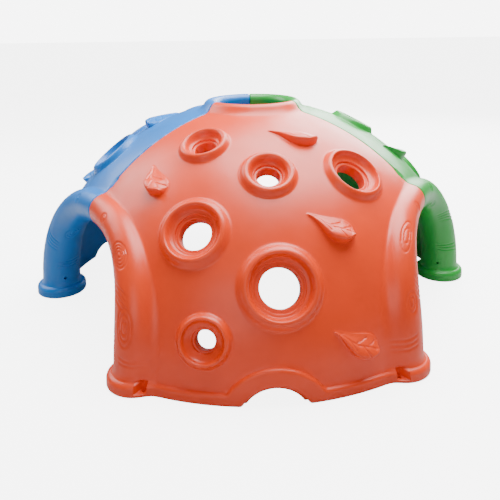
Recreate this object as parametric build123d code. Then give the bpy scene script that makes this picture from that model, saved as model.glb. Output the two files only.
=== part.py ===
from build123d import *
from math import acos, cos, degrees, radians, sin, sqrt
import os

# Climbing dome for a playground: three identical double-walled blow-moulded panels, bolted
# together along three upright seams. Shapes are made about the dome's axis at ground level and
# moved on export, so that the origin is the bottom middle of the whole. +Z is up, and the red
# panel faces -Y. Everything is in millimetres and degrees.

# ---- Driving dimensions -----------------------------------------------------------------

PANEL_COUNT = 3
PANEL_COLOURS = ["red", "green", "blue"]      # anticlockwise from above, starting at -Y

FACE_RADIUS = 912.0         # radius of a panel's spherical outer face
FACE_SHIFT = 35.0           # that sphere's centre stands this far from the dome axis
FACE_CENTRE_DEPTH = 92.0    # and this far below the ground
PANEL_DEPTH = 57.0          # outer face to inner face
WALL = 4.5                  # moulded wall
SEAM_GAP = 0.6              # between two panels' end faces

COLLAR_OPENING_RADIUS = 150.0    # round opening at the top
COLLAR_ROLL_RADIUS = 27.0        # half-round roll about that opening
COLLAR_RISE = 28.1               # its highest point above the outer face under its middle

ARCH_HALF_SPAN = 435.0      # seam plane to leg centre at the ground
ARCH_HEIGHT = 479.0         # leg centreline above the ground, at the seam
ARCH_SIDE_POWER = 0.87      # the arch is a squared ellipse: span * cos(u) ** side power,
ARCH_TOP_POWER = 0.66       # height * sin(u) ** top power
LEG_RADIUS_FOOT = 83.0
LEG_RADIUS_TOP = 64.0
LEG_DEPTH_FOOT = 44.0       # leg centreline below the panel's outer face: at the ground,
LEG_DEPTH_MIDDLE = 21.5     # half way round,
LEG_DEPTH_TOP = 37.0        # and at the seam

FLANGE_RADIUS = 107.0       # rolled flange round each foot
FLANGE_HEIGHT = 46.0
FLANGE_ROUND = 19.0
FLANGE_NECK = 68.0          # height where the flange has run out into the leg

SKIRT_HEIGHT = 40.0         # raised band along the bottom edge
SKIRT_PROUD = 10.0
SKIRT_HALF_ANGLE = 27.0
NOTCH_RADIUS = 126.0        # half-round gap in the middle of the bottom edge
NOTCH_DROP = 64.0           # its centre below the ground
NOTCH_BAND = 62.0           # width of the raised band round it
NOTCH_LIP = 14.0            # inner lip that narrows the gap
NOTCH_LIP_SETBACK = 18.0    # and how far behind the band's face it starts

ANCHOR_REACH = 90.0         # ground anchor hole from its foot's centre
ANCHOR_TURN = 18.4          # in a direction this far round from the panel's middle
ANCHOR_HOLE_RADIUS = 5.5
ANCHOR_POCKET_RADIUS = 16.0
ANCHOR_LIP = 12.0           # thickness of the lip with the hole
ANCHOR_POCKET_TOP = 54.0

VENT_RADIUS = 6.0           # blow hole in each leg, on the side of the arch
VENT_HEIGHT = 84.0

# Craters: (angle from the panel's middle, elevation, rim radius, funnel radius, hole radius).
# Both are seen from the centre of the panel's sphere.
CRATERS = {
    "upper_left": (-30.1, 63.6, 98.0, 65.0, 38.5),
    "upper_middle": (1.5, 55.1, 101.0, 64.0, 39.5),
    "upper_right": (35.7, 52.3, 122.0, 92.0, 55.0),
    "middle_left": (-20.7, 40.5, 125.0, 90.0, 55.0),
    "centre": (1.9, 29.6, 142.0, 104.0, 68.0),
    "lower_left": (-15.0, 18.7, 93.0, 68.0, 34.0),
}
CRATER_RISE = 21.0          # crest of the rim above the face
CRATER_CREST = 0.79         # radius of the crest as a share of the rim's radius
CRATER_LEDGE_DEPTH = 14.0   # ledge round the hole below the face
CRATER_STEP = 1.28          # radius of that ledge as a share of the hole's radius
CRATER_FLANK_BULGE = 0.25   # the rim's outer flank bulges by this share of its rise,
CRATER_FLANK_HEIGHT = 0.58  # at this share of its rise
FUNNEL_HIP_WIDTH = 0.30     # the funnel's hip lies this share of the way from the funnel's
FUNNEL_HIP_DROP = 0.32      # radius to the crest, and this share of the way down to the ledge

# Leaf-shaped holds: (angle from the panel's middle, elevation, slope, scale). The place is
# the leaf's tip, and the slope is the leaf's direction from level, downwards.
LEAVES = {
    "top": (4.4, 69.7, 13.0, 1.06),
    "left": (-48.8, 55.2, 30.0, 0.95),
    "right": (11.0, 44.7, 27.0, 1.0),
    "low": (12.5, 19.9, 24.0, 1.0),
}
LEAF_LENGTH = 182.0
LEAF_ABOVE = 24.0           # width above the line from tip to blunt end
LEAF_BELOW = 56.0           # and below it
LEAF_TIP_RISE = 9.0         # height over the face at the tip
LEAF_END_RISE = 30.0        # and at the blunt end
LEAF_END_FALL = 3.0         # the top drops by this much towards the very end
# Shares of the length, and of the width below, where the leaf's outline turns.
LEAF_WIDEST = 0.62
LEAF_TOP_TURN = 0.70
LEAF_HEEL = 0.80
LEAF_BELLY = (0.42, 0.80)
LEAF_END_CORNER = (0.95, 0.72)
LEAF_END_LEVEL = 0.15

# Seam bolts: distance of each station from the dome axis.
BOLT_STATIONS = {"upper": 262.0, "middle": 440.0, "lower": 585.0}
BOLT_DIAMETER = 8.0
BOLT_HOLE_CLEARANCE = 1.0
BOLT_HEAD_ACROSS = BOLT_DIAMETER * 1.625    # across the flats of the head and of the cap nut
BOLT_HEAD_HEIGHT = BOLT_DIAMETER * 0.6625
NUT_HEIGHT = BOLT_DIAMETER * 0.8125         # hexagon of the cap nut
NUT_DOME_HEIGHT = BOLT_DIAMETER * 1.0625    # from the hexagon to the nut's end
NUT_DOME_STEP = 0.5                         # hexagon's flat to the dome's widest circle
BOLT_END_IN_DOME = BOLT_DIAMETER / 2        # bolt's end above the nut's hexagon
WASHER_DIAMETER = BOLT_DIAMETER * 3
WASHER_THICKNESS = BOLT_DIAMETER / 4
POCKET_WEB = 8.0            # end wall that the bolt clamps
POCKET_LENGTH = 44.0        # away from the seam
POCKET_WIDTH = 42.0         # along the seam
POCKET_DEPTH = 34.0         # from the inner face
BOLT_HEIGHT = 17.0          # bolt axis over the inner face, half the pocket's depth

AXIS_BEHIND_ORIGIN = 29.5   # dome axis from the origin, away from the red panel

# ---- Derived sizes ----------------------------------------------------------------------

SECTOR = 360.0 / PANEL_COUNT
HALF_SECTOR = SECTOR / 2
REACH = 2 * FACE_RADIUS     # longer than anything in the dome
MARGIN = 20.0               # how far a cutter runs past the face that it cuts
NECK_OVERLAP = 1.0          # the flange's neck ends this far inside the leg
FACE_CENTRE = Vector(0, -FACE_SHIFT, -FACE_CENTRE_DEPTH)


def outward(angle):
    """Level unit vector at an angle from the panel's middle, which faces -Y."""
    return Vector(sin(radians(angle)), -cos(radians(angle)), 0)


def face_plane(angle, elevation, turn=0.0):
    """Plane on the panel's outer face: Z out of the face, X level, turned down by turn."""
    level = outward(angle)
    normal = level * cos(radians(elevation)) + Vector(0, 0, sin(radians(elevation)))
    level_x = Vector(0, 0, 1).cross(normal).normalized()
    uphill = normal.cross(level_x)
    x_dir = level_x * cos(radians(turn)) - uphill * sin(radians(turn))
    return Plane(FACE_CENTRE + normal * FACE_RADIUS, x_dir=x_dir, z_dir=normal)


def ball(radius):
    return Pos(FACE_CENTRE.X, FACE_CENTRE.Y, FACE_CENTRE.Z) * Sphere(radius)


def revolved(edges):
    return revolve(make_face([Plane.XZ * edge for edge in edges]), Axis.Z)


# ---- Panel ------------------------------------------------------------------------------

def sector(inset):
    """Space between the panel's two seam planes and above the ground, less the inset."""
    gap = SEAM_GAP / 2 + inset
    apex = outward(0) * (gap / sin(radians(HALF_SECTOR)))
    corners = [apex + outward(a) * REACH for a in (-HALF_SECTOR, 0, HALF_SECTOR)]
    outline = Polyline(apex, *corners, close=True)
    return Pos(0, 0, inset) * extrude(make_face(outline), REACH)


def arch_point(u):
    """Leg centreline: distance along the seam's direction, distance from the seam, height."""
    across = ARCH_HALF_SPAN * cos(u) ** ARCH_SIDE_POWER
    height = ARCH_HEIGHT * sin(u) ** ARCH_TOP_POWER
    share = sin(u)
    bow = 4 * LEG_DEPTH_MIDDLE - 3 * LEG_DEPTH_FOOT - LEG_DEPTH_TOP
    bend = 2 * (LEG_DEPTH_FOOT + LEG_DEPTH_TOP) - 4 * LEG_DEPTH_MIDDLE
    depth = LEG_DEPTH_FOOT + bow * share + bend * share ** 2
    centre_along = FACE_SHIFT * cos(radians(HALF_SECTOR))
    centre_across = FACE_SHIFT * sin(radians(HALF_SECTOR))
    level_square = (FACE_RADIUS - depth) ** 2 - (height + FACE_CENTRE_DEPTH) ** 2
    along = centre_along + sqrt(level_square - (across - centre_across) ** 2)
    return along, across, height


def arch_vector(u, side):
    """The same point in the panel's frame. side is 1 for the right-hand seam, -1 for left."""
    along, across, height = arch_point(u)
    seam = outward(side * HALF_SECTOR)
    from_seam = outward(side * (HALF_SECTOR - 90))
    return seam * along + from_seam * across + Vector(0, 0, height)


QUARTER = radians(90)
LEG_SECTIONS = [radians(a) for a in (3, 10, 20, 32, 45, 58, 70, 80, 87)]
TANGENT_STEP = radians(1.5)
ARCH_STEPS = 12


def leg(side, inset):
    """Leg from below the ground, up and round the arch, to just past the seam plane."""
    level = outward(side * HALF_SECTOR)
    planes = []
    radii = []
    for u in LEG_SECTIONS:
        tangent = arch_vector(u + TANGENT_STEP, side) - arch_vector(u - TANGENT_STEP, side)
        planes.append(Plane(arch_vector(u, side), x_dir=level.cross(tangent), z_dir=tangent))
        radii.append(LEG_RADIUS_FOOT + (LEG_RADIUS_TOP - LEG_RADIUS_FOOT) * sin(u) - inset)
    below_ground = arch_vector(0, side) - Vector(0, 0, MARGIN)
    planes.insert(0, Plane(below_ground, x_dir=planes[0].x_dir, z_dir=(0, 0, 1)))
    radii.insert(0, LEG_RADIUS_FOOT - inset)
    to_seam = outward(side * (HALF_SECTOR + 90))
    past_seam = arch_vector(QUARTER, side) + to_seam * MARGIN
    planes.append(Plane(past_seam, x_dir=level.cross(to_seam), z_dir=to_seam))
    radii.append(LEG_RADIUS_TOP - inset)
    return loft([plane * Circle(radius) for plane, radius in zip(planes, radii)])


def arch_space(side):
    """Space under the arch on one side of the seam, out to the leg's centreline."""
    points = [arch_point(QUARTER * i / ARCH_STEPS) for i in range(ARCH_STEPS + 1)]
    curve = Spline([(across, height) for _, across, height in points])
    far = -2 * MARGIN
    rest = Polyline(curve @ 1, (far, ARCH_HEIGHT), (far, far), (ARCH_HALF_SPAN, far), curve @ 0)
    plane = Plane((0, 0, 0), x_dir=outward(side * (HALF_SECTOR - 90)),
                  z_dir=outward(side * HALF_SECTOR) * -side)
    return extrude(plane * make_face([curve, *rest.edges()]), -side * REACH)


def foot_flange(side, inset):
    """Rolled flange: a bead round the foot that runs out into the leg."""
    edge = FLANGE_RADIUS - inset
    top = FLANGE_HEIGHT - inset
    leg_edge = LEG_RADIUS_FOOT - inset
    base = (edge - FLANGE_ROUND / 2, -MARGIN)
    low = (edge, FLANGE_ROUND / 2)
    high = (edge, top - FLANGE_ROUND)
    shoulder = (edge - FLANGE_ROUND * (1 - cos(QUARTER / 2)),
                top - FLANGE_ROUND * (1 - sin(QUARTER / 2)))
    crest = (edge - FLANGE_ROUND, top)
    neck = (leg_edge - NECK_OVERLAP, FLANGE_NECK - inset)
    outline = [
        Line((0, -MARGIN), base),
        Line(base, low),
        Line(low, high),
        ThreePointArc(high, shoulder, crest),
        Line(crest, neck),
        Line(neck, (0, FLANGE_NECK - inset)),
        Line((0, FLANGE_NECK - inset), (0, -MARGIN)),
    ]
    foot = arch_vector(0, side)
    return Pos(foot.X, foot.Y, 0) * revolved(outline)


def collar(inset):
    """Roll round the top opening and the sleeve under it, as deep as the panel."""
    roll_centre = (COLLAR_OPENING_RADIUS + COLLAR_ROLL_RADIUS, collar_top() - COLLAR_ROLL_RADIUS)
    roll = Pos(*roll_centre) * Circle(COLLAR_ROLL_RADIUS - inset)
    sleeve_bottom = collar_underside() + inset
    sleeve_height = roll_centre[1] - sleeve_bottom
    sleeve_width = 2 * COLLAR_ROLL_RADIUS - 2 * inset
    sleeve = Pos(roll_centre[0], sleeve_bottom + sleeve_height / 2)
    sleeve = sleeve * Rectangle(sleeve_width, sleeve_height)
    return revolve(Plane.XZ * (roll + sleeve), Axis.Z)


def collar_top():
    """Height of the roll, counted from the outer face under its middle."""
    level = COLLAR_OPENING_RADIUS + COLLAR_ROLL_RADIUS - FACE_SHIFT
    return sqrt(FACE_RADIUS ** 2 - level ** 2) - FACE_CENTRE_DEPTH + COLLAR_RISE


def collar_underside():
    """Height of the inner face where it meets the opening, in the panel's middle."""
    level = COLLAR_OPENING_RADIUS + 2 * COLLAR_ROLL_RADIUS - FACE_SHIFT
    return sqrt((FACE_RADIUS - PANEL_DEPTH) ** 2 - level ** 2) - FACE_CENTRE_DEPTH


def bottom_band(inset):
    """Raised band along the bottom edge and round the notch, following the outer face."""
    proud = ball(FACE_RADIUS + SKIRT_PROUD - inset) - ball(FACE_RADIUS - PANEL_DEPTH + inset)
    left = outward(-SKIRT_HALF_ANGLE) * REACH
    right = outward(SKIRT_HALF_ANGLE) * REACH
    wedge = make_face(Polyline((0, 0, 0), left, right, close=True))
    skirt = Pos(0, 0, -MARGIN) * extrude(wedge, SKIRT_HEIGHT - inset + MARGIN)
    return proud & (skirt + notch_cylinder(NOTCH_RADIUS + NOTCH_BAND - inset, 0))


def notch_cylinder(radius, start):
    """Level cylinder on the notch's centre, from start along the outward direction."""
    plane = Plane(outward(0) * start - Vector(0, 0, NOTCH_DROP), z_dir=outward(0))
    return extrude(plane * Circle(radius), REACH)


def crater_rim(angle, elevation, rim, inset):
    """Rounded roll that stands on the outer face round a crater."""
    sag = rim ** 2 / (2 * FACE_RADIUS)
    foot = (rim - inset, -sag - inset)
    crest = (rim * CRATER_CREST, CRATER_RISE - inset)
    flank_radius = (foot[0] + crest[0]) / 2 + CRATER_RISE * CRATER_FLANK_BULGE
    flank = (flank_radius, CRATER_RISE * CRATER_FLANK_HEIGHT - inset)
    outline = [
        ThreePointArc(foot, flank, crest),
        Line(crest, (0, crest[1])),
        Line((0, crest[1]), (0, -PANEL_DEPTH / 2)),
        Line((0, -PANEL_DEPTH / 2), (foot[0], -PANEL_DEPTH / 2)),
        Line((foot[0], -PANEL_DEPTH / 2), foot),
    ]
    roll = revolved(outline)
    return face_plane(angle, elevation).location * roll


def crater_bore(angle, elevation, rim, funnel, hole, inset):
    """Funnel, ledge and hole of a crater, right through the panel."""
    wide = funnel + inset
    crest_height = CRATER_RISE - inset
    mouth = rim * CRATER_CREST
    ledge = hole * CRATER_STEP + inset
    floor = -CRATER_LEDGE_DEPTH - inset
    above = CRATER_RISE + MARGIN
    below = -PANEL_DEPTH - MARGIN
    hip_radius = wide + (mouth - wide) * FUNNEL_HIP_WIDTH
    hip = (hip_radius, crest_height - (crest_height - floor) * FUNNEL_HIP_DROP)
    outline = [
        Line((0, above), (mouth, above)),
        Line((mouth, above), (mouth, crest_height)),
        ThreePointArc((mouth, crest_height), hip, (ledge, floor)),
        Line((ledge, floor), (hole + inset, floor)),
        Line((hole + inset, floor), (hole + inset, below)),
        Line((hole + inset, below), (0, below)),
        Line((0, below), (0, above)),
    ]
    bore = revolved(outline)
    return face_plane(angle, elevation).location * bore


def leaf(angle, elevation, slope, scale, inset):
    """Leaf-shaped hold: pointed low tip, blunt high end, steep sides, sloping top."""
    length = LEAF_LENGTH * scale
    above = LEAF_ABOVE * scale
    below = LEAF_BELOW * scale
    sharp_tip = (inset * length / (above + below), 0)
    end = (length - inset, -below * LEAF_END_LEVEL)
    heel = (length * LEAF_HEEL, -below + inset)
    corner = (length * LEAF_END_CORNER[0], -below * LEAF_END_CORNER[1] + inset)
    belly = (length * LEAF_BELLY[0], -below * LEAF_BELLY[1] + inset)
    outline = make_face([
        ThreePointArc(sharp_tip, (length * LEAF_WIDEST, above - inset), end),
        ThreePointArc(end, corner, heel),
        ThreePointArc(heel, belly, sharp_tip),
    ])
    low = -PANEL_DEPTH / 2
    block = Pos(0, 0, low) * extrude(outline, LEAF_END_RISE + MARGIN - low)
    top_edge = Polyline((-MARGIN, LEAF_TIP_RISE - inset), (0, LEAF_TIP_RISE - inset),
                        (length * LEAF_TOP_TURN, LEAF_END_RISE - inset),
                        (length, LEAF_END_RISE - LEAF_END_FALL - inset),
                        (length, low), (-MARGIN, low), close=True)
    under = extrude(Plane.XZ * make_face(top_edge), 2 * LEAF_LENGTH, both=True)
    return face_plane(angle, elevation, slope).location * (block & under)


def anchor_centre(side):
    away = outward(-side * ANCHOR_TURN)
    return arch_vector(0, side) + away * ANCHOR_REACH


def anchor_pocket(side, inset):
    """Pocket in the flange over an anchor hole, open away from the dome's axis. Its lip is
    solid, so an inset one runs down."""
    centre = anchor_centre(side)
    bottom = ANCHOR_LIP if inset == 0 else -MARGIN
    radius = ANCHOR_POCKET_RADIUS + inset
    height = ANCHOR_POCKET_TOP + inset - bottom
    round_end = Pos(centre.X, centre.Y, bottom + height / 2) * Cylinder(radius, height)
    away = centre.normalized()
    mouth = Plane(centre + away * FLANGE_RADIUS / 2 + Vector(0, 0, bottom), x_dir=away)
    return round_end + mouth * Pos(0, 0, height / 2) * Box(FLANGE_RADIUS, 2 * radius, height)


def station_plane(side, distance):
    """Plane of a bolt: origin on the bolt axis in the seam plane, Z square to the seam and
    towards the panel, X along the seam, downhill, Y out of the dome."""
    along = outward(side * HALF_SECTOR)
    into_panel = outward(side * (HALF_SECTOR - 90))
    centre_along = FACE_SHIFT * cos(radians(HALF_SECTOR))
    centre_across = FACE_SHIFT * sin(radians(HALF_SECTOR))
    radius = sqrt((FACE_RADIUS - PANEL_DEPTH + BOLT_HEIGHT) ** 2 - centre_across ** 2)
    rise = degrees(acos((distance - centre_along) / radius))
    out = along * cos(radians(rise)) + Vector(0, 0, sin(radians(rise)))
    centre = along * centre_along - Vector(0, 0, FACE_CENTRE_DEPTH)
    downhill = along * sin(radians(rise)) - Vector(0, 0, cos(radians(rise)))
    if side > 0:
        return Plane(centre + out * radius, x_dir=downhill, z_dir=into_panel)
    return Plane(centre + out * radius, x_dir=downhill * -1, z_dir=into_panel)


def bolt_pocket(side, distance, inset):
    """Pocket in the inner face beside the seam, for a bolt's head or nut."""
    out_sign = side_out(side, distance)
    height = 2 * MARGIN + POCKET_DEPTH + inset
    width = POCKET_WIDTH + 2 * inset
    near = POCKET_WEB - inset
    far = POCKET_WEB + POCKET_LENGTH + inset
    middle = (POCKET_DEPTH + inset - 2 * MARGIN) / 2 - BOLT_HEIGHT
    place = Pos(0, out_sign * middle, (near + far) / 2)
    return station_plane(side, distance).location * place * Box(width, height, far - near)


def side_out(side, distance):
    """1 where the station plane's Y points out of the dome, -1 where it points in."""
    plane = station_plane(side, distance)
    return 1 if plane.y_dir.dot(Vector(0, 0, 1)) > 0 else -1


def bolt_holes(side):
    """Clearance holes through the end wall at one seam."""
    radius = (BOLT_DIAMETER + BOLT_HOLE_CLEARANCE) / 2
    hole = Cylinder(radius, 4 * POCKET_WEB)
    return [station_plane(side, d).location * hole for d in BOLT_STATIONS.values()]


def panel_volume(inset):
    """Outer skin's volume, or with an inset of one wall the hollow inside it."""
    shell = ball(FACE_RADIUS - inset) - ball(FACE_RADIUS - PANEL_DEPTH + inset)
    opening = Pos(0, 0, REACH / 2) * Cylinder(COLLAR_OPENING_RADIUS + COLLAR_ROLL_RADIUS, REACH)
    shell = (shell - opening) & sector(inset)
    shell = shell - [arch_space(side) for side in (-1, 1)]
    added = [collar(inset), bottom_band(inset)]
    added += [leg(side, inset) for side in (-1, 1)]
    added += [foot_flange(side, inset) for side in (-1, 1)]
    added += [crater_rim(a, e, rim, inset) for a, e, rim, _, _ in CRATERS.values()]
    added += [leaf(*values, inset) for values in LEAVES.values()]
    volume = (shell + added) & sector(inset)
    removed = [crater_bore(*values, inset) for values in CRATERS.values()]
    removed += [anchor_pocket(side, inset) for side in (-1, 1)]
    removed.append(notch_cylinder(NOTCH_RADIUS - NOTCH_LIP + inset, 0))
    lip_start = FACE_RADIUS + FACE_SHIFT - NOTCH_LIP_SETBACK - inset
    removed.append(notch_cylinder(NOTCH_RADIUS + inset, lip_start))
    removed += [bolt_pocket(side, d, inset) for side in (-1, 1) for d in BOLT_STATIONS.values()]
    return volume - removed


def panel():
    """One moulding: skin less hollow, drilled for the seam bolts, the anchors and the vents."""
    skin = panel_volume(0)
    hollow = panel_volume(WALL)
    drilled = [hole for side in (-1, 1) for hole in bolt_holes(side)]
    for side in (-1, 1):
        centre = anchor_centre(side)
        drilled.append(Pos(centre.X, centre.Y, 0) * Cylinder(ANCHOR_HOLE_RADIUS, 3 * ANCHOR_LIP))
        foot = arch_vector(0, side)
        to_seam = outward(side * (HALF_SECTOR + 90))
        vent = Plane(foot + Vector(0, 0, VENT_HEIGHT), z_dir=to_seam)
        drilled.append(extrude(vent * Circle(VENT_RADIUS), 2 * LEG_RADIUS_FOOT))
    return skin - hollow - drilled


# ---- Seam bolts -------------------------------------------------------------------------
# Each is made at the red panel's right-hand seam, with Z along the bolt towards its nut.

def washer(sign):
    ring = Circle(WASHER_DIAMETER / 2) - Circle((BOLT_DIAMETER + BOLT_HOLE_CLEARANCE) / 2)
    return Pos(0, 0, sign * POCKET_WEB) * extrude(ring, sign * WASHER_THICKNESS)


def bolt():
    """Hexagon bolt: its head bears on the head washer and its end stands inside the nut."""
    seat = POCKET_WEB + WASHER_THICKNESS
    head = RegularPolygon(BOLT_HEAD_ACROSS / 2, 6, major_radius=False)
    head = Pos(0, 0, -seat) * extrude(head, -BOLT_HEAD_HEIGHT)
    length = 2 * seat + NUT_HEIGHT + BOLT_END_IN_DOME
    shank = Pos(0, 0, -seat) * extrude(Circle(BOLT_DIAMETER / 2), length)
    return head + shank


def cap_nut():
    """Domed nut, threaded on the bolt: its bore is the bolt's diameter, closed at the end."""
    seat = POCKET_WEB + WASHER_THICKNESS
    hexagon = extrude(RegularPolygon(BOLT_HEAD_ACROSS / 2, 6, major_radius=False), NUT_HEIGHT)
    dome = Pos(0, 0, NUT_HEIGHT) * Sphere(BOLT_HEAD_ACROSS / 2 - NUT_DOME_STEP)
    above = Pos(0, 0, NUT_HEIGHT + REACH / 2) * Box(REACH, REACH, REACH)
    limit = Pos(0, 0, (NUT_HEIGHT + NUT_DOME_HEIGHT) / 2)
    limit = limit * Cylinder(BOLT_HEAD_ACROSS, NUT_HEIGHT + NUT_DOME_HEIGHT)
    bore = extrude(Circle(BOLT_DIAMETER / 2), NUT_HEIGHT + BOLT_END_IN_DOME)
    return Pos(0, 0, seat) * ((hexagon + (dome & above)) & limit - bore)


def export(shape, name):
    solids = (Pos(0, AXIS_BEHIND_ORIGIN, 0) * shape).solids()
    part = solids[0] if len(solids) == 1 else Compound(children=list(solids))
    export_step(part, os.path.join("parts", name + ".step"))


def main():
    os.makedirs("parts", exist_ok=True)
    moulding = panel()
    hardware = {
        "bolt": bolt(),
        "head_washer": washer(-1),
        "nut_washer": washer(1),
        "cap_nut": cap_nut(),
    }
    for index, colour in enumerate(PANEL_COLOURS):
        turn = Rot(0, 0, SECTOR * index)
        export(turn * moulding, colour + "_panel")
        neighbour = PANEL_COLOURS[(index + 1) % PANEL_COUNT]
        for station, distance in BOLT_STATIONS.items():
            place = turn * station_plane(1, distance).location
            for kind, shape in hardware.items():
                export(place * shape, "_".join([colour, neighbour, station, kind]))


main()
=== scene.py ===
import math

import bmesh
import bpy
import numpy as np
from mathutils import Matrix, Vector
from mathutils.geometry import delaunay_2d_cdt


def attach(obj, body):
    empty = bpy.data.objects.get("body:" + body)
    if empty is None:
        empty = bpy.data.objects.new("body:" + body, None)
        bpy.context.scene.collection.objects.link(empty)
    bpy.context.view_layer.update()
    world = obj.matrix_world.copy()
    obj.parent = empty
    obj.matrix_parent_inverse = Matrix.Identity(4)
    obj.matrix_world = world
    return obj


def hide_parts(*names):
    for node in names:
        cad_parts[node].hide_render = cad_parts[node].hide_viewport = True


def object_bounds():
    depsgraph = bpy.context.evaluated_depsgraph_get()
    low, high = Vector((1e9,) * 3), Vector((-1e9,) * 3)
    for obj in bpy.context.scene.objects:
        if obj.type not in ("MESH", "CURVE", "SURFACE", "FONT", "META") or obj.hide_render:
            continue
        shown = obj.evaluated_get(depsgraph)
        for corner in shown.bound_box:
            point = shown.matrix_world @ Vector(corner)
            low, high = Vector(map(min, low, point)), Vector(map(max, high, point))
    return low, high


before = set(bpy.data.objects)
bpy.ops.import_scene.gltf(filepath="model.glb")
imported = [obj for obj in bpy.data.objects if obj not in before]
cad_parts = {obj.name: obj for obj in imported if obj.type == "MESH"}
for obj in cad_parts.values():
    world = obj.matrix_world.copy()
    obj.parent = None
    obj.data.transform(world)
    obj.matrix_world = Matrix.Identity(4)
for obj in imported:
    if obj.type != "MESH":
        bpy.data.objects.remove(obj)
cad_low, cad_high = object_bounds()

# ---- Camera -------------------------------------------------------------------------------
# A view from 1.13 m up, 2.4 m in front of the dome's middle and just left of it, tipped down
# by 22 degrees and held nearly level.

camera_data = bpy.data.cameras.new("camera")
camera_data.sensor_width = 36.0
camera_data.lens = 40.10
camera_data.shift_x = -0.0080
camera = bpy.data.objects.new("camera", camera_data)
bpy.context.scene.collection.objects.link(camera)
eye = Vector((-0.1673, -2.3680, 1.1313))
level_ahead = Vector((0.1673, 2.3975, 0.0)).normalized()
pitch = math.radians(22.19)
ahead = level_ahead * math.cos(pitch) - Vector((0, 0, 1)) * math.sin(pitch)
right = ahead.cross(Vector((0, 0, 1))).normalized()
roll = -0.0119
rolled_right = right * math.cos(roll) + right.cross(ahead) * math.sin(roll)
rolled_up = rolled_right.cross(ahead)
turn = Matrix((rolled_right, rolled_up, -ahead)).transposed().to_4x4()
camera.matrix_world = Matrix.Translation(eye) @ turn
bpy.context.scene.camera = camera

# ---- Panels: the moulding's sheets ----------------------------------------------------------
# Each third of the dome is one hollow blow-moulded polyethylene panel. Its outer and inner
# faces are parts of two balls about one centre. This section shapes the faces; the strips
# that join them round the legs, notch and collar follow.

FACE_RADIUS = 0.912
FACE_DEPTH = 0.057
INNER_RADIUS = FACE_RADIUS - FACE_DEPTH
BALL_CENTRE = np.array([0.0, -0.035, -0.092])
HALF_SECTOR = math.radians(60)
SEAM_GAP = 0.0003
SEAM_ROUND = 0.0065
SEAM_OUT = np.array([math.sin(HALF_SECTOR), -math.cos(HALF_SECTOR), 0.0])
SEAM_NORMAL = np.array([math.cos(HALF_SECTOR), math.sin(HALF_SECTOR), 0.0])
MIRROR = np.array([-1.0, 1.0, 1.0])
UPRIGHT = np.array([0.0, 0.0, 1.0])


def smooth_step(x):
    """0 below 0, 1 above 1, and 3 x squared less 2 x cubed between."""
    x = np.clip(x, 0.0, 1.0)
    return x * x * (3 - 2 * x)


def round_over(distance, radius):
    """How far a rounded edge has dropped: radius less the quarter circle's height."""
    inside = np.clip(radius - distance, 0.0, radius)
    return radius - np.sqrt(radius ** 2 - inside ** 2)


def unit(ways):
    """The same directions with a length of 1."""
    return ways / np.linalg.norm(ways, axis=-1, keepdims=True)


def seam_distance(points):
    """Distance in from the nearer of the panel's two seam planes."""
    sides = points * np.where(points[..., :1] < 0, MIRROR, 1.0)
    return -(sides @ SEAM_NORMAL) - SEAM_GAP


def ball_point(x, z, radius):
    """Point of a ball about the panel's centre with a given x and z, on the side facing -Y."""
    level = radius ** 2 - x ** 2 - (z - BALL_CENTRE[2]) ** 2
    return np.stack([x, BALL_CENTRE[1] - np.sqrt(level), z], axis=-1)


def out_direction(points):
    """Unit vector out of the ball, turned level near the ground and into the seam plane near
    a seam, so that edges that are moved along it stay in their planes."""
    out = unit(points - BALL_CENTRE)
    level = 1 - smooth_step(points[..., 2] / 0.06)
    out = out - out[..., 2:] * level[..., None] * UPRIGHT
    normal = np.where(points[..., :1] < 0, SEAM_NORMAL * MIRROR, SEAM_NORMAL)
    near = 1 - smooth_step(seam_distance(points) / 0.012)
    across = (out * normal).sum(axis=-1, keepdims=True)
    return unit(out - across * near[..., None] * normal)


NOTCH_RADIUS = 0.126
NOTCH_CENTRE_Z = -0.064
BAND_WIDTH = 0.062
BAND_HEIGHT = 0.040
BAND_PROUD = 0.0145
BAND_ROUND = 0.010
BAND_HOLLOW = 0.0022
BAND_EASE = 0.010
GROUND_ROUND = 0.003
NOTCH_ROUND = 0.006


def band_distance(points):
    """Distance inside the raised band: height below its top edge along the bottom, or
    distance in from the ring round the notch, whichever is more, eased where they meet."""
    below = BAND_HEIGHT - points[..., 2]
    radial = np.hypot(points[..., 0], points[..., 2] - NOTCH_CENTRE_Z)
    ring = NOTCH_RADIUS + BAND_WIDTH - radial
    mixed = np.clip(0.5 + (below - ring) / (2 * BAND_EASE), 0, 1)
    return ring + (below - ring) * mixed + BAND_EASE * mixed * (1 - mixed)


def band_height(points):
    """The band's height over the face: a quarter ellipse up from its edge, a soft hollow at
    its foot, a round-over at the notch's mouth and a slight one at the ground."""
    inside = band_distance(points)
    rise = np.clip(inside / BAND_ROUND, 0, 1)
    foot = BAND_HOLLOW * np.exp(-(np.minimum(inside, 0) / 0.006) ** 2)
    height = foot + (BAND_PROUD - BAND_HOLLOW) * np.sqrt(1 - (1 - rise) ** 2)
    radial = np.hypot(points[..., 0], points[..., 2] - NOTCH_CENTRE_Z)
    height = height - round_over(radial - NOTCH_RADIUS, NOTCH_ROUND)
    return height - round_over(points[..., 2], GROUND_ROUND)


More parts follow.
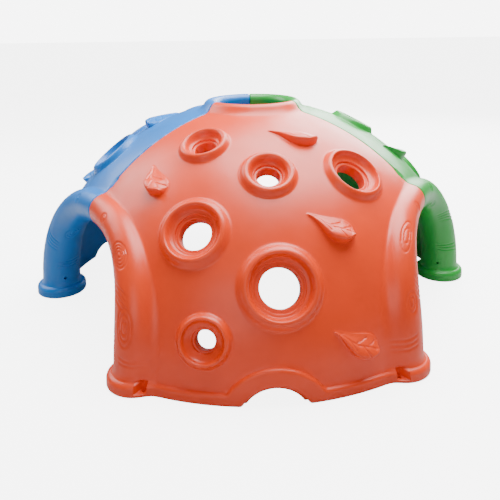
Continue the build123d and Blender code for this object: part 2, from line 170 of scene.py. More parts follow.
# Leaf holds: angle from the panel's middle, elevation and slope of the leaf's line in
# degrees, and its scale.
LEAVES = [(4.4, 69.7, 13.0, 1.06), (-48.8, 55.2, 30.0, 0.95), (11.0, 44.7, 27.0, 1.0),
          (12.5, 19.9, 24.0, 1.0)]
LEAF_LENGTH = 0.182
LEAF_UPPER_EDGE = [(0, 0), (0.030, 0.003), (0.070, 0.010), (0.105, 0.020), (0.132, 0.027),
                   (0.155, 0.025), (0.172, 0.014), (0.183, -0.004)]
LEAF_LOWER_EDGE = [(0.183, -0.016), (0.176, -0.034), (0.160, -0.052), (0.128, -0.060),
                   (0.098, -0.058), (0.074, -0.042), (0.046, -0.020), (0.020, -0.006)]
LEAF_VEINS = [(0.030, 0.060, 1), (0.062, 0.094, -1), (0.090, 0.122, 1), (0.112, 0.146, -1),
              (0.134, 0.160, 1)]
LEAF_RISE_AT_TIP = 0.007
LEAF_RISE_MORE = 0.025      # what the rise gains on the way to the blunt end
LEAF_HOLLOW = 0.0014
MIDRIB_WIDTH = 0.0026
VEIN_WIDTH = 0.0025
VEIN_SPREAD = 0.026
VEIN_DEPTH = 0.0028


def direction_of(angle, elevation):
    """Unit vector at an angle from -Y and an elevation, both in degrees."""
    angle, elevation = np.radians(angle), np.radians(elevation)
    level = np.cos(elevation)
    return np.stack([level * np.sin(angle), -level * np.cos(angle), np.sin(elevation)], axis=-1)


def face_frame(angle, elevation, slope=0.0):
    """Three unit vectors on the face: along, turned down by the slope; uphill; and out."""
    out = direction_of(angle, elevation)
    level = np.cross(UPRIGHT, out)
    level = level / np.linalg.norm(level)
    uphill = np.cross(out, level)
    slope = math.radians(slope)
    along = level * math.cos(slope) - uphill * math.sin(slope)
    return along, np.cross(out, along), out


def b_spline(points, count, closed=False):
    """Uniform cubic B-spline, closed or with its ends pinned, sampled evenly in its
    parameter."""
    points = np.array(points, dtype=float)
    if closed:
        held = np.concatenate([points[-1:], points, points[:2]])
    else:
        held = np.concatenate([points[:1], points[:1], points, points[-1:], points[-1:]])
    place = np.linspace(0, len(held) - 3, count, endpoint=not closed)
    index = np.minimum(place.astype(int), len(held) - 4)
    t = (place - index)[:, None]
    weights = ((1 - t) ** 3, 3 * t ** 3 - 6 * t ** 2 + 4, -3 * t ** 3 + 3 * t ** 2 + 3 * t + 1, t ** 3)
    return sum(w * held[index + k] for k, w in enumerate(weights)) / 6


def inside_loop(points, loop):
    """Whether points lie inside a closed loop: an odd number of its edges lie to the right."""
    ax, ay = loop[:, 0], loop[:, 1]
    bx, by = np.roll(ax, -1), np.roll(ay, -1)
    x, y = points[:, :1], points[:, 1:]
    crosses = (ay > y) != (by > y)
    slope = np.where(by == ay, 1.0, by - ay)
    return (crosses & (x < (bx - ax) * (y - ay) / slope + ax)).sum(axis=1) % 2 == 1


def loop_distance(points, loop):
    """Shortest distance from points to a closed loop's edges."""
    step = np.roll(loop, -1, axis=0) - loop
    length = np.maximum((step ** 2).sum(axis=1), 1e-12)
    nearest = np.full(len(points), np.inf)
    for block in np.array_split(np.arange(len(points)), len(points) // 2000 + 1):
        offset = points[block, None, :] - loop[None]
        share = np.clip((offset * step).sum(axis=2) / length, 0, 1)
        gap = offset - share[..., None] * step
        nearest[block] = np.sqrt((gap ** 2).sum(axis=2)).min(axis=1)
    return nearest


leaf_outline = b_spline(LEAF_UPPER_EDGE + LEAF_LOWER_EDGE, 150, closed=True)


def leaf_gap(place):
    """Distance in from the leaf's outline, below 0 outside it."""
    return loop_distance(place, leaf_outline) * np.where(inside_loop(place, leaf_outline), 1, -1)


def leaf_point(t, w, leaf):
    """Points of the outer ball at lengths along and across a leaf's line."""
    angle, elevation, slope, scale = leaf
    along, across, out = face_frame(angle, elevation, slope)
    way = out + (t[:, None] * along + w[:, None] * across) * scale / FACE_RADIUS
    return BALL_CENTRE + FACE_RADIUS * way / np.linalg.norm(way, axis=1, keepdims=True)


def leaf_place(points, leaf):
    """Lengths along and across a leaf's line for points of the ball: leaf_point's inverse."""
    angle, elevation, slope, scale = leaf
    along, across, out = face_frame(angle, elevation, slope)
    way = points - BALL_CENTRE
    facing = way @ out
    facing = np.where(facing < 0.3, np.nan, facing) * scale / FACE_RADIUS
    return np.nan_to_num(np.stack([way @ along / facing, way @ across / facing], axis=-1), nan=9.0)


def groove(points, start, finish, width):
    """A bell-shaped groove along a straight line between two places, at most 1 deep."""
    start, step = np.array(start), np.array(finish) - np.array(start)
    share = np.clip((points - start) @ step / (step @ step), 0, 1)
    gap = points - start - share[:, None] * step
    return np.exp(-(gap ** 2).sum(axis=1) / width ** 2)


def leaf_height(points, leaf):
    """A leaf shelf. Its top climbs from the upper edge to the lower one and from the tip to
    the blunt end, its edge is a quarter ellipse, and a midrib and side veins are grooved."""
    place = leaf_place(points, leaf)
    height = np.zeros(len(points))
    near = (place[:, 0] > -0.02) & (place[:, 0] < 0.20) & (np.abs(place[:, 1] + 0.016) < 0.06)
    if not near.any():
        return height
    place = place[near]
    inside = leaf_gap(place)
    share = np.clip(place[:, 0] / LEAF_LENGTH, 0, 1)
    upper = np.interp(place[:, 0], *np.array(LEAF_UPPER_EDGE).T)
    lower = np.interp(place[:, 0], *np.array([(0, 0)] + LEAF_LOWER_EDGE[::-1]).T)
    across = np.clip((upper - place[:, 1]) / np.maximum(upper - lower, 0.006), 0, 1)
    climb = LEAF_RISE_AT_TIP + LEAF_RISE_MORE * smooth_step(share * 1.3)
    top = climb * (0.14 + 0.86 * smooth_step(across * 1.15))
    top = top + 0.003 * np.sin(np.pi * across) * share
    edge_width = 0.0045 + 0.0065 * smooth_step(across * 1.2) * share
    wall = np.clip((inside + 0.0005) / edge_width, 0, 1)
    middle = (upper + lower) / 2
    veins = np.exp(-((place[:, 1] - middle) / MIDRIB_WIDTH) ** 2) * smooth_step((1.04 - share) * 12)
    for root, tip, way in LEAF_VEINS:
        root_middle = np.interp(root, [0, 0.10, 0.183], [0, -0.018, -0.010])
        vein = groove(place, (root, root_middle), (tip, root_middle + VEIN_SPREAD * way), VEIN_WIDTH)
        veins = np.maximum(veins, vein)
    veins = veins * smooth_step(inside / 0.007)
    foot = LEAF_HOLLOW * np.exp(-(np.minimum(inside, 0) / 0.0035) ** 2)
    shelf = np.maximum(top - LEAF_HOLLOW, 0) * np.sqrt(1 - (1 - wall) ** 2)
    height[near] = foot + shelf - VEIN_DEPTH * veins
    return height


def outer_face(points):
    """Moves points of the outer ball out by the band and the leaves, and in at the seams."""
    height = band_height(points)
    for leaf in LEAVES:
        height = height + leaf_height(points, leaf)
    drop = round_over(seam_distance(points), SEAM_ROUND)
    return points + out_direction(points) * (height - drop)[..., None]


# The chart is a stereographic map of the ball about the panel's middle. Its unit is a metre
# on the outer face.
CHART_OUT = direction_of(0.0, 42.0)
CHART_UP = direction_of(180.0, 48.0)
CHART_ACROSS = np.array([1.0, 0.0, 0.0])


def to_chart(points):
    """Stereographic map: twice the level offsets over one plus the cosine from the middle."""
    out = unit(points - BALL_CENTRE)
    scale = 2 * FACE_RADIUS / (1 + out @ CHART_OUT)
    return np.stack([out @ CHART_ACROSS * scale, out @ CHART_UP * scale], axis=-1)


def from_chart(chart, radius):
    """The inverse of the stereographic map, on a ball of the given radius."""
    x, y = chart[..., 0] / FACE_RADIUS, chart[..., 1] / FACE_RADIUS
    square = x * x + y * y
    out = (4 * x[..., None] * CHART_ACROSS + 4 * y[..., None] * CHART_UP
           + (4 - square)[..., None] * CHART_OUT) / (4 + square)[..., None]
    return BALL_CENTRE + out * radius


def lattice(low, high, spacing):
    """Points of a triangular lattice over a box."""
    columns = np.arange(low[0], high[0], spacing)
    rows = np.arange(low[1], high[1], spacing * math.sqrt(3) / 2)
    x, y = np.meshgrid(columns, rows)
    x[1::2] += spacing / 2
    return np.stack([x.ravel(), y.ravel()], axis=1)


def sheet(outline, holes, inner_points):
    """Triangles over the outline less its holes, using every point given once.
    Returns the chart points and the triangles."""
    loops = [outline] + holes
    points = np.concatenate(loops + [inner_points])
    edges = []
    start = 0
    for loop in loops:
        index = np.arange(len(loop)) + start
        edges += list(zip(index.tolist(), np.roll(index, -1).tolist()))
        start += len(loop)
    made = delaunay_2d_cdt([Vector(p) for p in points.tolist()], edges, [], 0, 1e-7)
    chart = np.array([tuple(v) for v in made[0]])
    faces = np.array([f for f in made[2] if len(f) == 3])
    middles = chart[faces].mean(axis=1)
    kept = inside_loop(middles, outline)
    for hole in holes:
        kept &= ~inside_loop(middles, hole)
    return chart, faces[kept]


def grid_faces(rows, columns, closed=False):
    """Quads of a grid of points, with its columns joined end to end if closed."""
    index = np.arange(rows * columns).reshape(rows, columns)
    if closed:
        index = np.concatenate([index, index[:, :1]], axis=1)
    return np.stack([index[:-1, :-1], index[:-1, 1:], index[1:, 1:], index[1:, :-1]],
                    axis=-1).reshape(-1, 4)


# ---- Panels: legs and foot flanges -----------------------------------------------------------
# The edge of each panel is rolled into a thick half arch that ends in a foot with a rolled
# flange. It is moulded in one with the panel and carries wood-grain marks.

ARCH_SPAN = 0.435
ARCH_HEIGHT = 0.479
LEG_RADIUS_FOOT = 0.083
LEG_RADIUS_TOP = 0.064
LEG_DEPTHS = (0.044, 0.0215, 0.037)     # centreline below the face: foot, middle, seam
FLANGE_RADIUS = 0.107
FLANGE_ROUND = 0.019
FLANGE_HEIGHT = 0.046
FLANGE_NECK = 0.070
FLANGE_GROUND_ROUND = 0.006


def leg_depth(lift):
    """Depth of the centreline under the ball: a parabola through the three depths."""
    foot, middle, top = LEG_DEPTHS
    return foot + (4 * middle - 3 * foot - top) * lift + 2 * (foot + top - 2 * middle) * lift ** 2


def arch_line(u):
    """Leg centreline. Span times cos u to the 0.87 across, height times sin u to the 0.66 up,
    at a depth under the ball that goes by sin u."""
    across = ARCH_SPAN * np.maximum(np.cos(u), 0) ** 0.87
    height = ARCH_HEIGHT * np.maximum(np.sin(u), 0) ** 0.66
    across_centre = -(BALL_CENTRE @ SEAM_NORMAL)
    level = (FACE_RADIUS - leg_depth(np.sin(u))) ** 2 - (height - BALL_CENTRE[2]) ** 2
    along = BALL_CENTRE @ SEAM_OUT + np.sqrt(level - (across - across_centre) ** 2)
    across = across + SEAM_GAP
    return along[:, None] * SEAM_OUT - across[:, None] * SEAM_NORMAL + height[:, None] * [0, 0, 1]


def flange_bulge(z, leg_radius):
    """Extra radius of the foot at a height: a bead with a quarter-circle shoulder and a small
    round-over at the ground, then a hollow that runs out at the neck."""
    over = np.clip((z - (FLANGE_HEIGHT - FLANGE_ROUND)) / FLANGE_ROUND, 0, 1)
    bead = FLANGE_RADIUS - FLANGE_ROUND + FLANGE_ROUND * np.sqrt(1 - over ** 2)
    bead = bead - round_over(z, FLANGE_GROUND_ROUND)
    above = np.clip((z - FLANGE_HEIGHT) / (FLANGE_NECK - FLANGE_HEIGHT), 0, 1)
    neck = (FLANGE_RADIUS - FLANGE_ROUND - leg_radius) * (1 - above) ** 2
    return np.where(z < FLANGE_HEIGHT, bead - leg_radius, neck)


# Wood-grain marks, for the right leg (1) and the left one (-1). Knots: distance up the leg,
# angle round it in degrees, half length, half width, lean, and number of rings.
KNOTS = {
    1: [(0.628, 98, 0.015, 0.015, 0.0, 2), (0.450, 74, 0.058, 0.020, 0.12, 2),
        (0.245, 82, 0.030, 0.018, 0.0, 2), (0.370, 205, 0.045, 0.020, 0.3, 3)],
    -1: [(0.620, 99, 0.015, 0.015, 0.0, 2), (0.428, 92, 0.046, 0.028, 0.1, 4),
         (0.208, 88, 0.056, 0.027, 0.05, 3), (0.545, 165, 0.030, 0.016, 0.0, 2)],
}
# Strokes: distance up the leg and angle at their middle, half their angle, rise from the
# middle to the end, sag, how many, and their spacing.
STROKES = {
    1: [(0.110, 66, 28, 0.006, 0.004, 3, 0.015), (0.250, 135, 42, -0.020, 0.006, 4, 0.016),
        (0.150, 215, 38, 0.010, 0.0, 3, 0.015)],
    -1: [(0.300, 128, 54, 0.056, -0.008, 4, 0.017), (0.150, 165, 42, 0.012, 0.004, 3, 0.015),
         (0.100, 80, 24, 0.004, 0.004, 2, 0.014)],
}
MARK_DEPTH = 0.0028
MARK_WIDTH = 0.0030


def wood_marks(length, angle, radius, side):
    """Depth of the moulded wood-grain: rings that are level lines of an ellipse's radius, and
    strokes that are short parabolas, each a bell-shaped groove."""
    depth = np.zeros(angle.shape)
    for at, place, half_long, half_wide, lean, rings in KNOTS[side]:
        around = (angle - math.radians(place)) * radius
        x = around * math.cos(lean) - (length - at) * math.sin(lean)
        y = around * math.sin(lean) + (length - at) * math.cos(lean)
        size = np.hypot(x / half_wide, y / half_long)
        for ring in range(rings):
            gap = np.abs(size - (ring + 1) / rings) * np.hypot(x, y) / np.maximum(size, 0.05)
            depth = np.maximum(depth, np.exp(-(gap / MARK_WIDTH) ** 2))
    for at, place, half, rise, sag, count, spacing in STROKES[side]:
        x = (np.degrees(angle) - place) / half
        ends = smooth_step((1.05 - np.abs(x)) * 3)
        steep = np.hypot(1, rise / (math.radians(half) * radius))
        for stroke in range(count):
            line = at + spacing * stroke + rise * x + sag * x * x
            depth = np.maximum(depth, ends * np.exp(-((length - line) / steep / MARK_WIDTH) ** 2))
    return MARK_DEPTH * depth


ANCHOR_REACH = 0.090
ANCHOR_TURN = math.radians(18.4)
ANCHOR_LIP = 0.012
ANCHOR_POCKET = 0.016
ANCHOR_POCKET_TOP = 0.044
ANCHOR_POCKET_REACH = 0.075


def anchor_hole():
    """Middle of the right foot's anchor hole, at the ground."""
    away = np.array([-math.sin(ANCHOR_TURN), -math.cos(ANCHOR_TURN), 0.0])
    return arch_line(np.zeros(1))[0] + ANCHOR_REACH * away


def anchor_pocket(points):
    """Pushes points into the anchor pocket: a U-shaped groove, open outwards, over the lip."""
    hole = anchor_hole()
    out = hole / np.linalg.norm(hole)
    across = np.cross(UPRIGHT, out)
    g = (points - hole) @ out
    h = points @ across
    z = points[..., 2]
    back = -np.sqrt(np.clip(ANCHOR_POCKET ** 2 - h ** 2, 0, None))
    push = np.where((np.abs(h) < ANCHOR_POCKET) & (z < ANCHOR_POCKET_REACH), np.maximum(g - back, 0), 0)
    push = push * smooth_step((z - ANCHOR_LIP) / 0.003)
    push = push * (1 - smooth_step((z - ANCHOR_POCKET_TOP) / 0.012))
    return points - push[..., None] * out


LEG_PLACES = np.pi / 2 * np.linspace(0, 1, 4001) ** 1.7     # closer together at the foot
LEG_STEP = 0.004            # half the stretch that gives the centreline's direction
SEAM_ROWS = (0.010, 0.0075, 0.005, 0.003, 0.0015, 0.0005, 0.0)


def leg_rows(end):
    """Distances up the leg of its cross-sections, closer at the flange and at the seam."""
    shoulder = FLANGE_HEIGHT - FLANGE_ROUND + FLANGE_ROUND * np.sin(np.linspace(0, 1, 9) * np.pi / 2)
    low = np.concatenate([[0, .0012, .003, .006, .009, .0115, .0125, .0135, .015, .018, .022],
                          shoulder, [.048, .051, .055, .060, .066, .072]])
    near_seam = end - np.array(SEAM_ROWS)
    return np.concatenate([low, np.linspace(0.076, near_seam[0] - 0.003, 192), near_seam])


def leg_sections():
    """Cross-sections of the right leg, square to the centreline, level at the ground and in
    the seam plane at the top: distances up the leg, its whole length, places along the
    centreline, middles, and unit vectors towards the panel and out of the ball."""
    line = arch_line(LEG_PLACES)
    travelled = np.concatenate([[0], np.cumsum(np.linalg.norm(np.diff(line, axis=0), axis=1))])
    end = travelled[-1]
    length = leg_rows(end)
    u = np.interp(length, travelled, LEG_PLACES)
    centre = arch_line(u)
    tangent = unit(arch_line(np.interp(length + LEG_STEP, travelled, LEG_PLACES))
                   - arch_line(np.interp(length - LEG_STEP, travelled, LEG_PLACES)))
    upright = 1 - smooth_step((length - FLANGE_NECK) / 0.10)
    tangent = tangent + (UPRIGHT - tangent) * upright[:, None]
    sideways = smooth_step(1 - (end - length) / 0.04)
    tangent = unit(tangent + (SEAM_NORMAL - tangent) * sideways[:, None])
    out = centre - BALL_CENTRE
    out = unit(out - (out * tangent).sum(axis=1, keepdims=True) * tangent)
    return length, end, u, centre, np.cross(out, tangent), out


def bezier_rows(start, start_way, finish, finish_way, count):
    """Cubic Bezier curves, one per row, with handles of 0.4 of their chord."""
    handle = np.linalg.norm(finish - start, axis=1, keepdims=True) * 0.40
    t = np.linspace(0, 1, count)[None, :, None]
    a, d = start[:, None], finish[:, None]
    b, c = (start + start_way * handle)[:, None], (finish - finish_way * handle)[:, None]
    return (1 - t) ** 3 * a + 3 * (1 - t) ** 2 * t * b + 3 * (1 - t) * t ** 2 * c + t ** 3 * d


# Angles round the leg, from the panel over the top: where the roll starts low down, how far
# past the crease it starts higher up, where its wood marks end, and where it ends.
SOFT_START, PAST_CREASE = math.radians(58), math.radians(9)
MARKS_END, ROLL_END = math.radians(245), math.radians(328)


def leg_strip(side):
    """The edge roll. Each row is one cross-section of the leg: a curve that leaves the outer
    face, three quarters of a circle about the centreline, and a curve back to the inner face.
    Returns the grid of points, and its first and last columns on the two balls."""
    length, end, u, centre, inward, out = leg_sections()
    radius = LEG_RADIUS_FOOT + (LEG_RADIUS_TOP - LEG_RADIUS_FOOT) * np.sin(u)

    def on_ball(reach, ball):
        """Point at a reach along the section from the centreline, out to the ball."""
        start = centre + reach[:, None] * inward - BALL_CENTRE
        run = (start * out).sum(axis=1)
        rise = -run + np.sqrt(run ** 2 - (start ** 2).sum(axis=1) + ball ** 2)
        return BALL_CENTRE + start + rise[:, None] * out

    def along_ball(edge):
        """Unit vector in the section, along the ball, away from the leg."""
        normal = edge - BALL_CENTRE
        way = inward * (normal * out).sum(axis=1, keepdims=True)
        return unit(way - out * (normal * inward).sum(axis=1, keepdims=True))

    crease = np.arcsin(leg_depth(np.sin(u)) / radius)
    share = length / end
    crisp = smooth_step((share - 0.26) / 0.26) * (1 - 0.45 * smooth_step((share - 0.86) / 0.14))
    soft_reach = radius * 0.5 + 0.075 - 0.012 * smooth_step(share * 1.6)
    outer_reach = soft_reach + (radius * np.cos(crease) + 0.013 - soft_reach) * crisp
    outer_edge = on_ball(outer_reach, FACE_RADIUS)
    inner_edge = on_ball(radius * 0.9 + 0.040, INNER_RADIUS)

    first = SOFT_START + (crease + PAST_CREASE - SOFT_START) * crisp
    front = first[:, None] + (MARKS_END - first)[:, None] * np.linspace(0, 1, 72)
    back = np.tile(np.linspace(MARKS_END, ROLL_END, 8)[1:], (len(u), 1))
    angles = np.concatenate([front, back], axis=1)
    bulge = flange_bulge(centre[:, 2], radius) - round_over(end - length, SEAM_ROUND)
    size = (radius + bulge)[:, None] - wood_marks(length[:, None], angles, radius[:, None], side)
    ring = centre[:, None] + size[..., None] * (np.cos(angles)[..., None] * inward[:, None]
                                                + np.sin(angles)[..., None] * out[:, None])

    leave = np.cos(first)[:, None] * out - np.sin(first)[:, None] * inward
    outer_curve = bezier_rows(outer_face(outer_edge), -along_ball(outer_edge), ring[:, 0], leave, 11)
    arrive = math.cos(ROLL_END) * out - math.sin(ROLL_END) * inward
    inner_curve = bezier_rows(ring[:, -1], arrive, inner_edge, along_ball(inner_edge), 7)
    points = anchor_pocket(np.concatenate([outer_curve[:, :-1], ring, inner_curve[:, 1:]], axis=1))
    flip = MIRROR if side < 0 else 1.0
    return points * flip, outer_edge * flip, inner_edge * flip


# ---- Panels: notch and collar ----------------------------------------------------------------
# The half-round notch in the bottom edge is a hand hold for lifting, with a lip set back in
# it. The collar is a third of the roll round the dome's top opening.

LIP_RADIUS = NOTCH_RADIUS - 0.014
LIP_BALL = FACE_RADIUS - 0.008
NOTCH_COLUMNS = 61
COLLAR_OPENING = 0.150
COLLAR_ROLL = 0.027
COLLAR_TOP = cad_high[2]
COLLAR_FOOT = 0.238
COLLAR_START = math.radians(35)     # where its roll starts, up from level
OPENING_ROUND = 0.006
EDGE_ROWS = (0.0006, 0.0016, 0.0032, 0.0055, 0.0085)


def notch_arc(radius):
    """Level and upright places of an arc about the notch's centre that starts and ends on
    the ground."""
    reach = math.acos(-NOTCH_CENTRE_Z / radius)
    angle = np.linspace(-reach, reach, NOTCH_COLUMNS)
    z = NOTCH_CENTRE_Z + radius * np.cos(angle)
    z[0] = z[-1] = 0.0
    return radius * np.sin(angle), z


def notch_strip():
    """Wall of the notch: arcs from the band's edge in to the step, over the lip's face and on
    to the inner ball, with small round-overs."""
    outer_edge = ball_point(*notch_arc(NOTCH_RADIUS), FACE_RADIUS)
    rows = [outer_face(outer_edge)]
    for radius, ball in ((NOTCH_RADIUS, FACE_RADIUS - 0.002),
                         (NOTCH_RADIUS, LIP_BALL + 0.002),
                         (NOTCH_RADIUS - 0.002, LIP_BALL),
                         (LIP_RADIUS + 0.004, LIP_BALL - 0.001),
                         (LIP_RADIUS + 0.001, LIP_BALL - 0.003),
                         (LIP_RADIUS, LIP_BALL - 0.007),
                         (LIP_RADIUS, INNER_RADIUS + 0.004),
                         (LIP_RADIUS + 0.001, INNER_RADIUS + 0.001)):
        rows.append(ball_point(*notch_arc(radius), ball))
    inner_edge = ball_point(*notch_arc(LIP_RADIUS + 0.003), INNER_RADIUS)
    rows.append(inner_edge)
    return np.stack(rows), outer_edge, inner_edge


def axis_point(level, share, ball):
    """Point of a ball at a distance from the dome's axis and a share of the way from the
    panel's middle to its seam."""
    angle = share * (HALF_SECTOR - np.arcsin(SEAM_GAP / level))
    x, y = level * np.sin(angle), -level * np.cos(angle)
    z = BALL_CENTRE[2] + np.sqrt(ball ** 2 - x ** 2 - (y - BALL_CENTRE[1]) ** 2)
    return np.stack([x, y, z + 0 * x], axis=-1)


def collar_shares():
    """Columns of the collar, as shares of the way to the seam, closer near the seam."""
    edge = np.array([0.0, *EDGE_ROWS]) / (COLLAR_OPENING * HALF_SECTOR)
    middle = np.linspace(-1 + edge[-1] * 1.4, 1 - edge[-1] * 1.4, 86)
    return np.concatenate([-1 + edge, middle, 1 - edge[::-1]])


def collar_strip():
    """The collar: a curve up from the outer face, an arc of 145 degrees over the roll, the
    opening's straight wall and a small round-over on to the inner face."""
    share = collar_shares()
    outer_edge = axis_point(np.full_like(share, COLLAR_FOOT), share, FACE_RADIUS)
    inner_level = COLLAR_OPENING + OPENING_ROUND
    inner_edge = axis_point(np.full_like(share, inner_level), share, INNER_RADIUS)
    drop = round_over(seam_distance(outer_edge), SEAM_ROUND)
    roll_level = COLLAR_OPENING + COLLAR_ROLL
    roll_height = COLLAR_TOP - COLLAR_ROLL
    foot = outer_face(outer_edge)
    foot_level = np.hypot(foot[:, 0], foot[:, 1])
    centre_level = -BALL_CENTRE[1] * np.cos(share * HALF_SECTOR)
    slope = -(foot_level - centre_level) / (foot[:, 2] - BALL_CENTRE[2])
    first = COLLAR_START
    level_rows, height_rows = [foot_level], [foot[:, 2]]
    size = COLLAR_ROLL - drop
    top_level = roll_level + size * math.cos(first)
    top_height = roll_height + size * math.sin(first)
    chord = np.hypot(foot_level - top_level, foot[:, 2] - top_height) * 0.42
    steep = np.hypot(1, slope)
    for t in np.linspace(0, 1, 13)[1:]:
        weights = ((1 - t) ** 3, 3 * (1 - t) ** 2 * t, 3 * (1 - t) * t * t, t ** 3)
        levels = (foot_level, foot_level - chord / steep,
                  top_level + chord * math.sin(first), top_level)
        heights = (foot[:, 2], foot[:, 2] - chord * slope / steep,
                   top_height - chord * math.cos(first), top_height)
        level_rows.append(sum(w * v for w, v in zip(weights, levels)))
        height_rows.append(sum(w * v for w, v in zip(weights, heights)))
    for angle in np.linspace(first, math.pi, 26)[1:]:
        level_rows.append(roll_level + size * math.cos(angle))
        height_rows.append(roll_height + size * math.sin(angle))
    wall = roll_level - size
    bottom = inner_edge[:, 2]
    for drop_share in (0.25, 0.5, 0.75):
        level_rows.append(wall)
        height_rows.append(roll_height + (bottom + OPENING_ROUND - roll_height) * drop_share)
    for angle in np.linspace(0, math.pi / 2, 5):
        level_rows.append(inner_level - (inner_level - wall) * math.cos(angle))
        height_rows.append(bottom + OPENING_ROUND * (1 - math.sin(angle)))
    level = np.stack(level_rows)
    angle = share[None] * (HALF_SECTOR - np.arcsin(SEAM_GAP / level))
    points = np.stack([level * np.sin(angle), -level * np.cos(angle), np.stack(height_rows)], axis=-1)
    points[0] = foot
    points[-1] = inner_edge
    return points, outer_edge, inner_edge


# ---- Panels: craters -------------------------------------------------------------------------
# Six ringed hand and foot holes in each panel. Each is a rounded rim, a funnel, a narrow ledge
# and a round neck where the two skins meet.

# Angle from the panel's middle, elevation, radii of rim, funnel and hole.
CRATERS = [(-30.1, 63.6, 0.098, 0.065, 0.0385), (1.5, 55.1, 0.101, 0.064, 0.0395),
           (35.7, 52.3, 0.122, 0.092, 0.055), (-20.7, 40.5, 0.125, 0.090, 0.055),
           (1.9, 29.6, 0.142, 0.104, 0.068), (-15.0, 18.7, 0.093, 0.068, 0.034)]
LEDGE_DEPTH = 0.0150
RIM_SPREAD = 1.07
HOLE_ROUND = 0.003
CRATER_COLUMNS = 74


def crater_profile(rim, funnel, hole):
    """Radius and height over the ball from the rim's foot in to the neck's end."""
    crest, first, second = 0.80 * rim, 1.42 * hole, 1.24 * hole
    ledge = -LEDGE_DEPTH
    outside = b_spline([(RIM_SPREAD * rim, 0), (1.035 * rim, 0), (0.99 * rim, 0.0012),
                        (0.955 * rim, 0.0060), (0.915 * rim, 0.0140), (0.862 * rim, 0.0208),
                        (crest, 0.0228), (crest - 0.5 * (crest - funnel), 0.0212),
                        (funnel + 0.12 * (crest - funnel), 0.0150), (funnel - 0.002, 0.0080),
                        (0.5 * (funnel + first), 0.0010), (first, -0.0045),
                        (first - 0.003, -0.0062), (second + 0.002, -0.0072),
                        (second, -0.0085), (second - 0.0005, ledge)], 35)
    inside = b_spline([(second - 0.0005, ledge), (second - 0.002, ledge - 0.001),
                       (hole + 0.55 * (second - hole), ledge - 0.001),
                       (hole + 0.003, ledge - 0.001), (hole, ledge - 0.0025),
                       (hole, ledge - 0.008), (hole, -0.035),
                       (hole, -FACE_DEPTH + 0.007), (hole, -FACE_DEPTH + 0.002),
                       (hole + HOLE_ROUND, -FACE_DEPTH)], 17)
    return np.concatenate([outside, inside[1:]])


def crater_patch(crater):
    """Polar grid about the crater's middle: each profile point is carried round a circle, and
    its height is counted from the outer ball. Returns it with its two edges on the balls."""
    angle, elevation, rim, funnel, hole = crater
    along, uphill, out = face_frame(angle, elevation)
    profile = crater_profile(rim, funnel, hole)
    turn = np.arange(CRATER_COLUMNS) * 2 * np.pi / CRATER_COLUMNS
    way = np.cos(turn)[:, None] * along + np.sin(turn)[:, None] * uphill
    level = np.sqrt(FACE_RADIUS ** 2 - profile[:, 0] ** 2) + profile[:, 1]
    level[-1] = math.sqrt(INNER_RADIUS ** 2 - profile[-1, 0] ** 2)
    points = (BALL_CENTRE + profile[:, 0, None, None] * way[None] + level[:, None, None] * out)
    outer_edge = points[0].copy()
    points[0] = outer_face(points[0])
    return points, outer_edge, points[-1]


# ---- Panels: putting one together ------------------------------------------------------------
# The outer and inner sheets take in the edges of every strip, the seam faces and the ground
# faces close the moulding, and pockets for the seam bolts and holes for the anchors are cut.

# Spacing of the points: over the outer and inner sheets and the leaves, and along the sheets'
# edges. The rows are distances in from the band's edge, the notch's mouth and a leaf's outline.
OUTER_STEP, INNER_STEP, LEAF_STEP = 0.0102, 0.022, 0.0023
OUTER_EDGE_STEP, INNER_EDGE_STEP = 0.005, 0.012
BAND_ROWS = (-0.006, -0.003, -0.001, 0.0005, 0.0018, 0.0038, 0.0068, 0.011, 0.016, 0.021, 0.029, 0.036)
NOTCH_ROWS = (0.0012, 0.003, 0.0055, 0.009)
LEAF_ROWS = (-0.002, -0.0005, 0.0004, 0.0014, 0.0030, 0.0050, 0.0066)
WELD = 2e-5


def ground_line(start, finish, ball, spacing):
    """Points along the ground between two points of a ball, evenly by angle."""
    a = math.atan2(start[0], BALL_CENTRE[1] - start[1])
    b = math.atan2(finish[0], BALL_CENTRE[1] - finish[1])
    level = math.sqrt(ball ** 2 - BALL_CENTRE[2] ** 2)
    count = max(2, int(abs(b - a) * level / spacing))
    angle = np.linspace(a, b, count + 1)[1:-1]
    x, y = level * np.sin(angle), BALL_CENTRE[1] - level * np.cos(angle)
    return np.stack([x, y, 0 * x], axis=1)


def seam_line(start, finish, ball, spacing, side):
    """Points in a seam plane between two points of a ball, evenly by distance from the axis."""
    a, b = np.hypot(*start[:2]), np.hypot(*finish[:2])
    count = max(2, int(abs(b - a) * 1.25 / spacing))
    level = np.linspace(a, b, count + 1)[1:-1]
    return axis_point(level, side * np.ones_like(level), ball)


def sheet_edge(right, left, notch, collar, ball, spacing):
    """Loop round a sheet, anticlockwise from outside, from the notch's right end."""
    return np.concatenate([
        notch, ground_line(notch[-1], right[0], ball, spacing), right,
        seam_line(right[-1], collar[-1], ball, spacing, 1), collar[::-1],
        seam_line(collar[0], left[-1], ball, spacing, -1), left[::-1],
        ground_line(left[0], notch[0], ball, spacing)])


def leaf_spots():
    """Points on and round a leaf, along and across it: a square grid, and rows that follow
    the outline at set distances."""
    t, w = np.meshgrid(np.arange(-0.010, 0.194, LEAF_STEP), np.arange(-0.070, 0.038, LEAF_STEP))
    spots = np.stack([t.ravel(), w.ravel()], axis=1)
    gap = leaf_gap(spots)
    spots = spots[((gap > 0.0075) | (gap < -0.003)) & (gap > -0.009)]
    step = np.roll(leaf_outline, -1, axis=0) - np.roll(leaf_outline, 1, axis=0)
    normal = unit(np.stack([step[:, 1], -step[:, 0]], axis=1))
    for inset in LEAF_ROWS:
        moved = leaf_outline + normal * inset
        moved = moved[np.abs(loop_distance(moved, leaf_outline) - abs(inset)) < 0.0003]
        spots = np.concatenate([spots, moved])
    return spots


